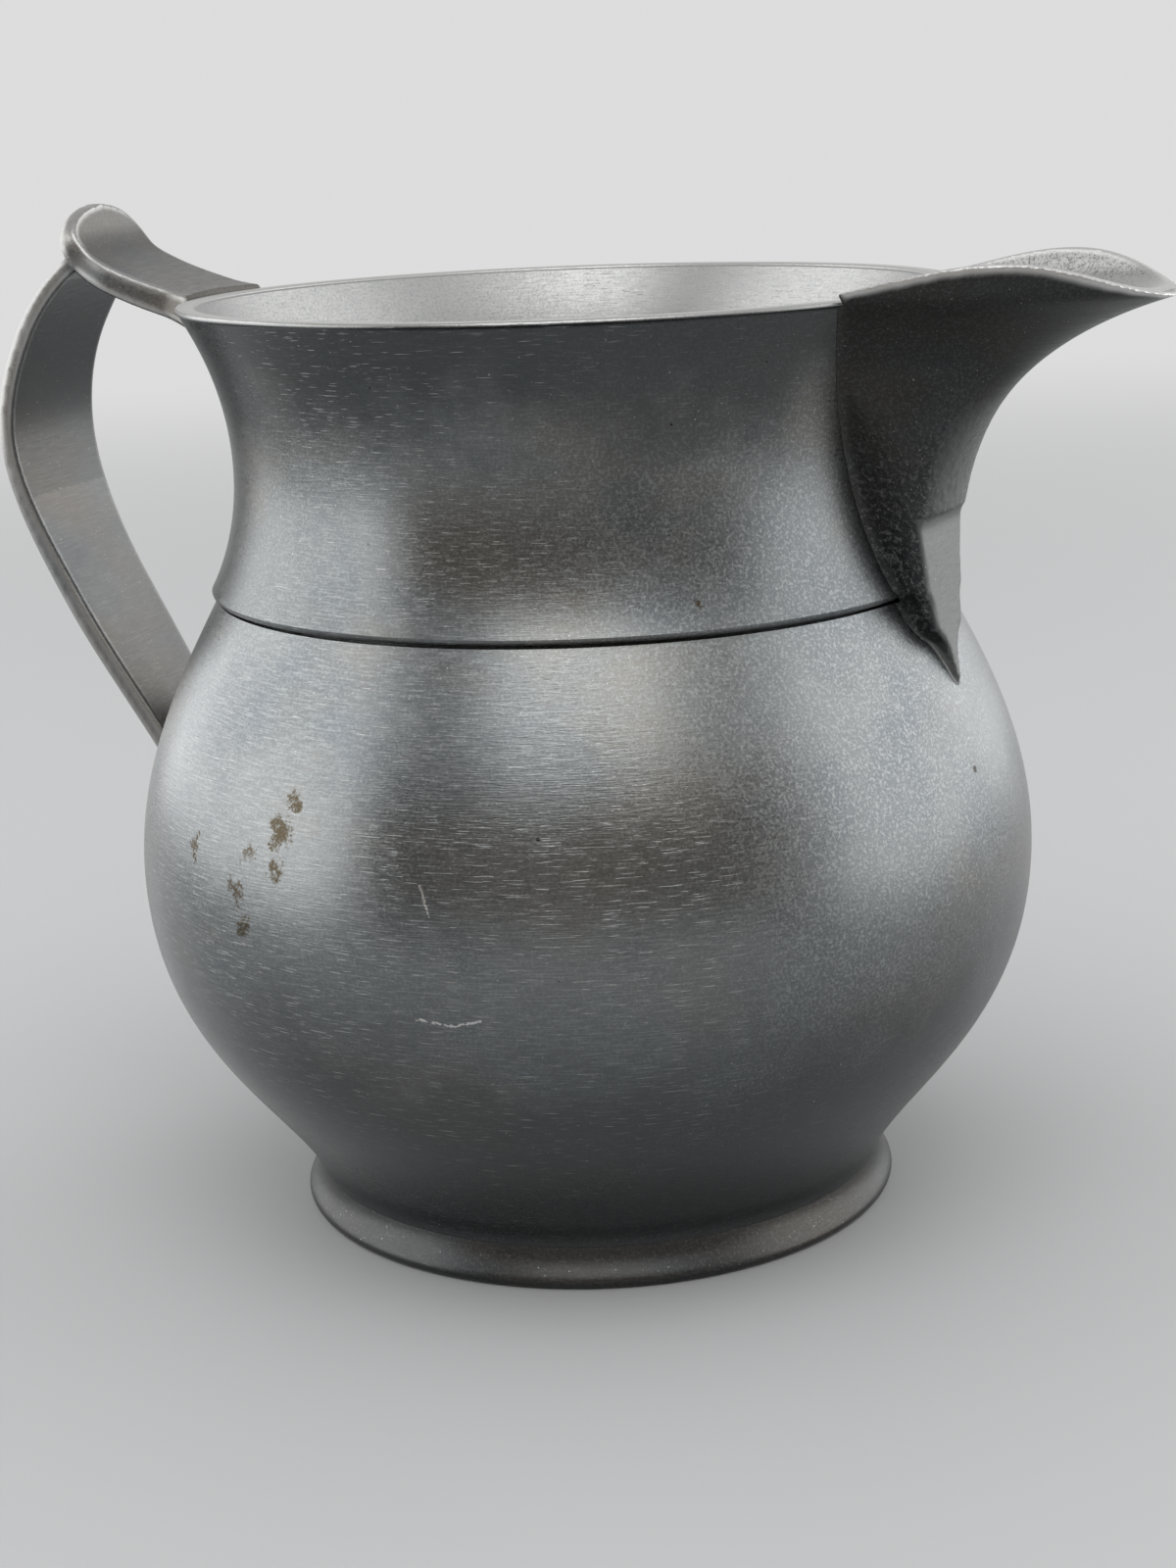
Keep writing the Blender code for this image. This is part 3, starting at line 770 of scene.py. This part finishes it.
def pewter(name, tone, roughness, lines, grain, shade_heights=None, cast=None, wear=0.95, stains=(), spots=(),
           scratches=(), brown_lines=()):
    """Worn pewter: turning lines, cast grain, painted shade, a painted lighter inside, stains, pits,
    scratches, specks and rubbed edges.

    The shade heights are those between which painted shade darkens the metal, and cast those between which
    its skin gets as rough as it left the mould. Wear is the share of bright metal on rubbed edges.
    """
    material = bpy.data.materials.new(name)
    material.use_nodes = True
    tree = material.node_tree
    shader = tree.nodes["Principled BSDF"]
    shader.inputs["Metallic"].default_value = 1.0
    place = stretched(tree, add(tree, "TexCoord", {}).outputs["Object"], (1.0 / MM,) * 3)
    axes = add(tree, "SeparateXYZ", {0: place}).outputs
    round_place = wrapped(tree, axes)
    marked = {key: add(tree, "Attribute", {}, attribute_name=key).outputs["Fac"] for key in MARKED}

    turning = mottle(tree, stretched(tree, round_place, (0.22, 3.2, 1.0)), 1.0, 4.0, 0.75)
    dashes = mottle(tree, stretched(tree, round_place, (0.24, 5.2, 1.0)), 1.0, 1.0, 0.5)
    skin = mottle(tree, place, 2.1, 3.0, 0.75)
    patches = mottle(tree, place, 0.040, 4.0, 0.6)
    warmth = mottle(tree, stretched(tree, place, (1.0, 1.0, 1.7)), 0.024, 3.0, 0.5)
    specks = remap(tree, mottle(tree, place, 2.4, 1.0, 0.5), 0.74, 0.81, 0.0, 0.6)
    to_pit = add(tree, "TexVoronoi", {"Vector": place, "Scale": 0.075}).outputs["Distance"]
    pits = remap(tree, to_pit, 0.010, 0.024, 1.0, 0.0)
    polished = remap(tree, calc(tree, "ABSOLUTE", axes["Y"]), *POLISHED_SIDES)
    grainy = calc(tree, "MULTIPLY", remap(tree, polished, 0.0, 1.0, 1.0, 0.45), grain)
    grainy = calc(tree, "MULTIPLY", grainy, remap(tree, marked["filed"], 0.2, 0.7, 1.0, 0.15))
    brushed = calc(tree, "MULTIPLY", remap(tree, polished, 0.0, 1.0, 0.3, 1.0), lines)
    if cast:
        crests = remap(tree, mottle(tree, place, 1.3, 3.0, 0.7), 0.48, 0.66)
        unfiled = calc(tree, "SUBTRACT", 1.0, marked["filed"])
        rough = calc(tree, "MULTIPLY", remap(tree, axes["Z"], *cast), unfiled)
        crests = calc(tree, "MULTIPLY", crests, rough)
    bright_dashes = calc(tree, "MULTIPLY", remap(tree, dashes, 0.64, 0.74), brushed)

    dark = (tone[0] * 0.72, tone[1] * 0.75, tone[2] * 0.79, 1.0)
    warm = (tone[0] * 0.98, tone[1] * 0.90, tone[2] * 0.82, 1.0)
    light = (tone[0] * 1.80, tone[1] * 1.80, tone[2] * 1.78, 1.0)
    shade_colour = (tone[0] * 0.34, tone[1] * 0.35, tone[2] * 0.36, 1.0)
    colour = tint(tree, remap(tree, patches, 0.35, 0.70), (*tone, 1.0), dark)
    colour = tint(tree, remap(tree, warmth, 0.44, 0.68), colour, warm)
    # Painted highlight on the insides of rim and spout channel
    colour = tint(tree, marked["inner"], colour, INNER_PAINTED_LIGHT)
    colour = tint(tree, marked["filed"], colour, FILED_COLOUR)
    colour = tint(tree, calc(tree, "MULTIPLY", remap(tree, skin, 0.46, 0.66), grainy), colour, light)
    ridges = calc(tree, "MULTIPLY", remap(tree, turning, 0.45, 0.72, 0.0, 0.75), brushed)
    colour = tint(tree, ridges, colour, light)
    # Painted shade on the grip's inner side, under the thumb rest
    colour = tint(tree, marked["shaded"], colour, shade_colour)
    # Painted shade by height: the lower bowl and the top of the collar darken, in place of dark reflections
    if shade_heights:
        ragged_height = calc(tree, "ADD", axes["Z"], remap(tree, patches, 0.3, 0.7, -6.0, 6.0))
        outer = calc(tree, "SUBTRACT", 1.0, marked["inner"])
        share = calc(tree, "MULTIPLY", remap(tree, ragged_height, *shade_heights, 0.0, 0.8), outer)
        colour = tint(tree, share, colour, shade_colour)
    if cast:
        colour = tint(tree, calc(tree, "MULTIPLY", crests, 0.6), colour, CREST_COLOUR)
    if stains:
        swirl = add(tree, "TexNoise", {"Vector": place, "Scale": 0.45, "Detail": 2.0}).outputs["Color"]
        spread_out = {0: swirl, 1: (5.0, 5.0, 5.0), 2: (-2.5, -2.5, -2.5)}
        shift = add(tree, "VectorMath", spread_out, operation="MULTIPLY_ADD")
        warped = add(tree, "VectorMath", {0: place, 1: shift.outputs[0]}, operation="ADD").outputs[0]
        inside = near_marks(tree, warped, stains)
        ragged = calc(tree, "MULTIPLY", calc(tree, "POWER", inside, 0.5), mottle(tree, place, 1.6, 4.0, 0.9))
        colour = tint(tree, remap(tree, ragged, 0.36, 0.45, 0.0, 0.9), colour, STAIN_COLOUR)
    if brown_lines:
        on_line = near_lines(tree, round_place, brown_lines, BROWN_HALF_WIDTH)
        colour = tint(tree, on_line, colour, STAIN_COLOUR)
    if spots:
        inside = near_marks(tree, place, spots)
        colour = tint(tree, remap(tree, inside, 0.2, 0.6), colour, PIT_COLOUR)
    colour = tint(tree, pits, colour, PIT_COLOUR)
    rubbed = calc(tree, "MAXIMUM", specks, calc(tree, "MULTIPLY", bright_dashes, 0.5))
    rubbed = calc(tree, "MAXIMUM", rubbed, calc(tree, "MULTIPLY", marked["worn"], wear))
    if scratches:
        on_line = near_lines(tree, round_place, scratches, SCRATCH_HALF_WIDTH)
        rubbed = calc(tree, "MAXIMUM", rubbed, on_line)
    colour = tint(tree, rubbed, colour, BRIGHT_COLOUR)
    tree.links.new(colour, shader.inputs["Base Color"])

    sheen = remap(tree, turning, 0.3, 0.7, -0.05, 0.05)
    sheen = calc(tree, "ADD", sheen, remap(tree, skin, 0.3, 0.7, -0.05, 0.05))
    sheen = calc(tree, "ADD", sheen, calc(tree, "MULTIPLY", marked["inner"], 0.12))
    unpolished = remap(tree, polished, 0.0, 1.0, 0.16, 0.0)
    sheen = calc(tree, "ADD", sheen, calc(tree, "MULTIPLY", unpolished, lines))
    tree.links.new(calc(tree, "ADD", sheen, roughness), shader.inputs["Roughness"])

    relief = calc(tree, "MULTIPLY", turning, brushed)
    relief = calc(tree, "ADD", relief, calc(tree, "MULTIPLY", skin, grainy))
    relief = calc(tree, "SUBTRACT", relief, calc(tree, "MULTIPLY", bright_dashes, 0.5))
    relief = calc(tree, "SUBTRACT", relief, calc(tree, "MULTIPLY", pits, 2.0))
    if cast:
        relief = calc(tree, "ADD", relief, calc(tree, "MULTIPLY", crests, 2.0))
    bump = add(tree, "Bump", {"Strength": 1.0, "Distance": RELIEF_DEPTH * MM, "Height": relief})
    tree.links.new(bump.outputs[0], shader.inputs["Normal"])
    return material


def dress(piece, node, material):
    piece.data.materials.clear()
    piece.data.materials.append(material)
    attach(piece, "root")
    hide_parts(node)


def make_camera():
    pitch_cos = math.cos(CAMERA_PITCH)
    forward = Vector((
        math.sin(CAMERA_YAW) * pitch_cos,
        math.cos(CAMERA_YAW) * pitch_cos,
        -math.sin(CAMERA_PITCH),
    ))
    right = Vector((math.cos(CAMERA_YAW), -math.sin(CAMERA_YAW), 0.0))
    up = right.cross(forward)
    rolled_right = math.cos(CAMERA_ROLL) * right + math.sin(CAMERA_ROLL) * up
    rolled_up = math.cos(CAMERA_ROLL) * up - math.sin(CAMERA_ROLL) * right
    pose = Matrix((rolled_right, rolled_up, -forward)).transposed().to_4x4()
    pose.translation = (0.0, -CAMERA_DISTANCE, CAMERA_HEIGHT)
    data = bpy.data.cameras.new("camera")
    data.sensor_fit = "VERTICAL"
    data.sensor_height = SENSOR_HEIGHT
    data.lens = FOCAL_PIXELS / IMAGE_HEIGHT * SENSOR_HEIGHT
    data.clip_start = CLIP_START
    camera = add_object("camera", data)
    camera.matrix_world = Matrix.Rotation(CAMERA_TURN, 4, "Z") @ pose
    bpy.context.scene.camera = camera


def make_matt(name, colour):
    material = bpy.data.materials.new(name)
    material.use_nodes = True
    shader = material.node_tree.nodes["Principled BSDF"]
    shader.inputs["Base Color"].default_value = colour
    shader.inputs["Roughness"].default_value = MATT_ROUGHNESS
    return material


def camera_side(degrees):
    """A level direction, turned from the one that points from the pitcher to the camera."""
    angle = CAMERA_TURN - math.pi / 2 + math.radians(degrees)
    return Vector((math.cos(angle), math.sin(angle), 0.0))


def make_floor():
    mesh = bpy.data.meshes.new("floor")
    shape = bmesh.new()
    bmesh.ops.create_circle(shape, cap_ends=True, segments=FLOOR_SEGMENTS, radius=FLOOR_RADIUS)
    shape.to_mesh(mesh)
    shape.free()
    material = make_matt("pale_floor", FLOOR_COLOUR)
    tree = material.node_tree
    path = add(tree, "LightPath", {}).outputs
    seen = calc(tree, "MAXIMUM", path["Is Camera Ray"], path["Is Glossy Ray"])
    seen = calc(tree, "MAXIMUM", seen, path["Is Transmission Ray"])
    place = add(tree, "TexCoord", {}).outputs["Object"]
    far = add(tree, "VectorMath", {0: place}, operation="LENGTH").outputs["Value"]
    fade = calc(tree, "MULTIPLY", remap(tree, far, *FLOOR_FADE), seen)
    haze = add(tree, "Emission", {"Color": (WORLD_LEVEL,) * 3 + (1.0,)}).outputs[0]
    surface = tree.nodes["Principled BSDF"].outputs[0]
    mixed = add(tree, "MixShader", {0: fade, 1: surface, 2: haze}).outputs[0]
    tree.links.new(mixed, tree.nodes["Material Output"].inputs["Surface"])
    mesh.materials.append(material)
    add_object("floor", mesh)


def make_screen():
    """A dim curved screen behind the camera, which the front of the metal reflects."""
    points = []
    for degrees in np.linspace(-SCREEN_SPAN, SCREEN_SPAN, SCREEN_COLUMNS):
        foot = camera_side(degrees) * SCREEN_RADIUS
        points += [foot, foot + Vector((0.0, 0.0, SCREEN_HEIGHT))]
    faces = [(i, i + 1, i + 3, i + 2) for i in range(0, len(points) - 2, 2)]
    mesh = bpy.data.meshes.new("screen")
    mesh.from_pydata(points, [], faces)
    mesh.materials.append(make_matt("dim_screen", SCREEN_COLOUR))
    screen = add_object("screen", mesh)
    screen.visible_camera = False


def add_softbox(name, location, target, width, height, radiance):
    data = bpy.data.lights.new(name, "AREA")
    data.shape = "RECTANGLE"
    data.size = width
    data.size_y = height
    data.energy = radiance * math.pi * width * height
    box = add_object(name, data)
    box.location = location
    box.rotation_euler = (target - location).to_track_quat("-Z", "Y").to_euler()
    box.visible_camera = False


def make_light():
    world = bpy.data.worlds.new("studio")
    world.use_nodes = True
    world.node_tree.nodes["Background"].inputs["Color"].default_value = (WORLD_LEVEL,) * 3 + (1.0,)
    bpy.context.scene.world = world
    target = Vector((0.0, 0.0, SOFTBOX_HEIGHT / 2))
    for degrees in SOFTBOX_DIRECTIONS:
        location = camera_side(degrees) * SOFTBOX_DISTANCE + target
        add_softbox("softbox", location, target, SOFTBOX_WIDTH, SOFTBOX_HEIGHT, SOFTBOX_RADIANCE)
    middle = Vector((0.0, 0.0, RIM_HEIGHT * MM / 2))
    rise = Vector((0.0, 0.0, math.sin(FRONT_LIGHT_ELEVATION)))
    toward = camera_side(0.0) * math.cos(FRONT_LIGHT_ELEVATION) + rise
    add_softbox("front_light", middle + toward * FRONT_LIGHT_DISTANCE, middle, FRONT_LIGHT_SIZE,
                FRONT_LIGHT_SIZE, FRONT_LIGHT_RADIANCE)


blank = make_body_blank()
passage = make_spout_form("spout_passage", PASSAGE_FLOOR, SPOUT_WALL, KEEL_WALL_UP, KEEL_WALL_IN)
collar = make_collar(passage)
spout = make_spout(passage, blank)
handle = make_handle(blank)
for tool in (blank, passage):
    bpy.data.objects.remove(tool)

bowl_metal = pewter("bowl_pewter", BODY_GREY, roughness=0.20, lines=0.9, grain=0.8, shade_heights=BOWL_PAINTED_SHADE,
                    stains=BROWN_STAINS, spots=DARK_SPOTS, scratches=BRIGHT_SCRATCHES,
                    brown_lines=BROWN_LINES)
foot_metal = pewter("foot_pewter", FOOT_GREY, roughness=0.34, lines=0.3, grain=0.5)
collar_metal = pewter("collar_pewter", COLLAR_GREY, roughness=0.20, lines=0.9, grain=0.8,
                      shade_heights=COLLAR_PAINTED_SHADE, stains=COLLAR_STAINS)
spout_metal = pewter("spout_pewter", SPOUT_GREY, roughness=0.38, lines=0.1, grain=0.7, cast=CAST_SKIN)
handle_metal = pewter("handle_pewter", HANDLE_GREY, roughness=0.32, lines=0.1, grain=0.3, wear=0.55)

dress(make_bowl(), "bowl", bowl_metal)
dress(make_foot_ring(), "foot_ring", foot_metal)
dress(collar, "neck_collar", collar_metal)
dress(spout, "spout", spout_metal)
dress(handle, "handle", handle_metal)

make_camera()
make_floor()
make_screen()
make_light()
bpy.context.scene.view_settings.view_transform = "Standard"
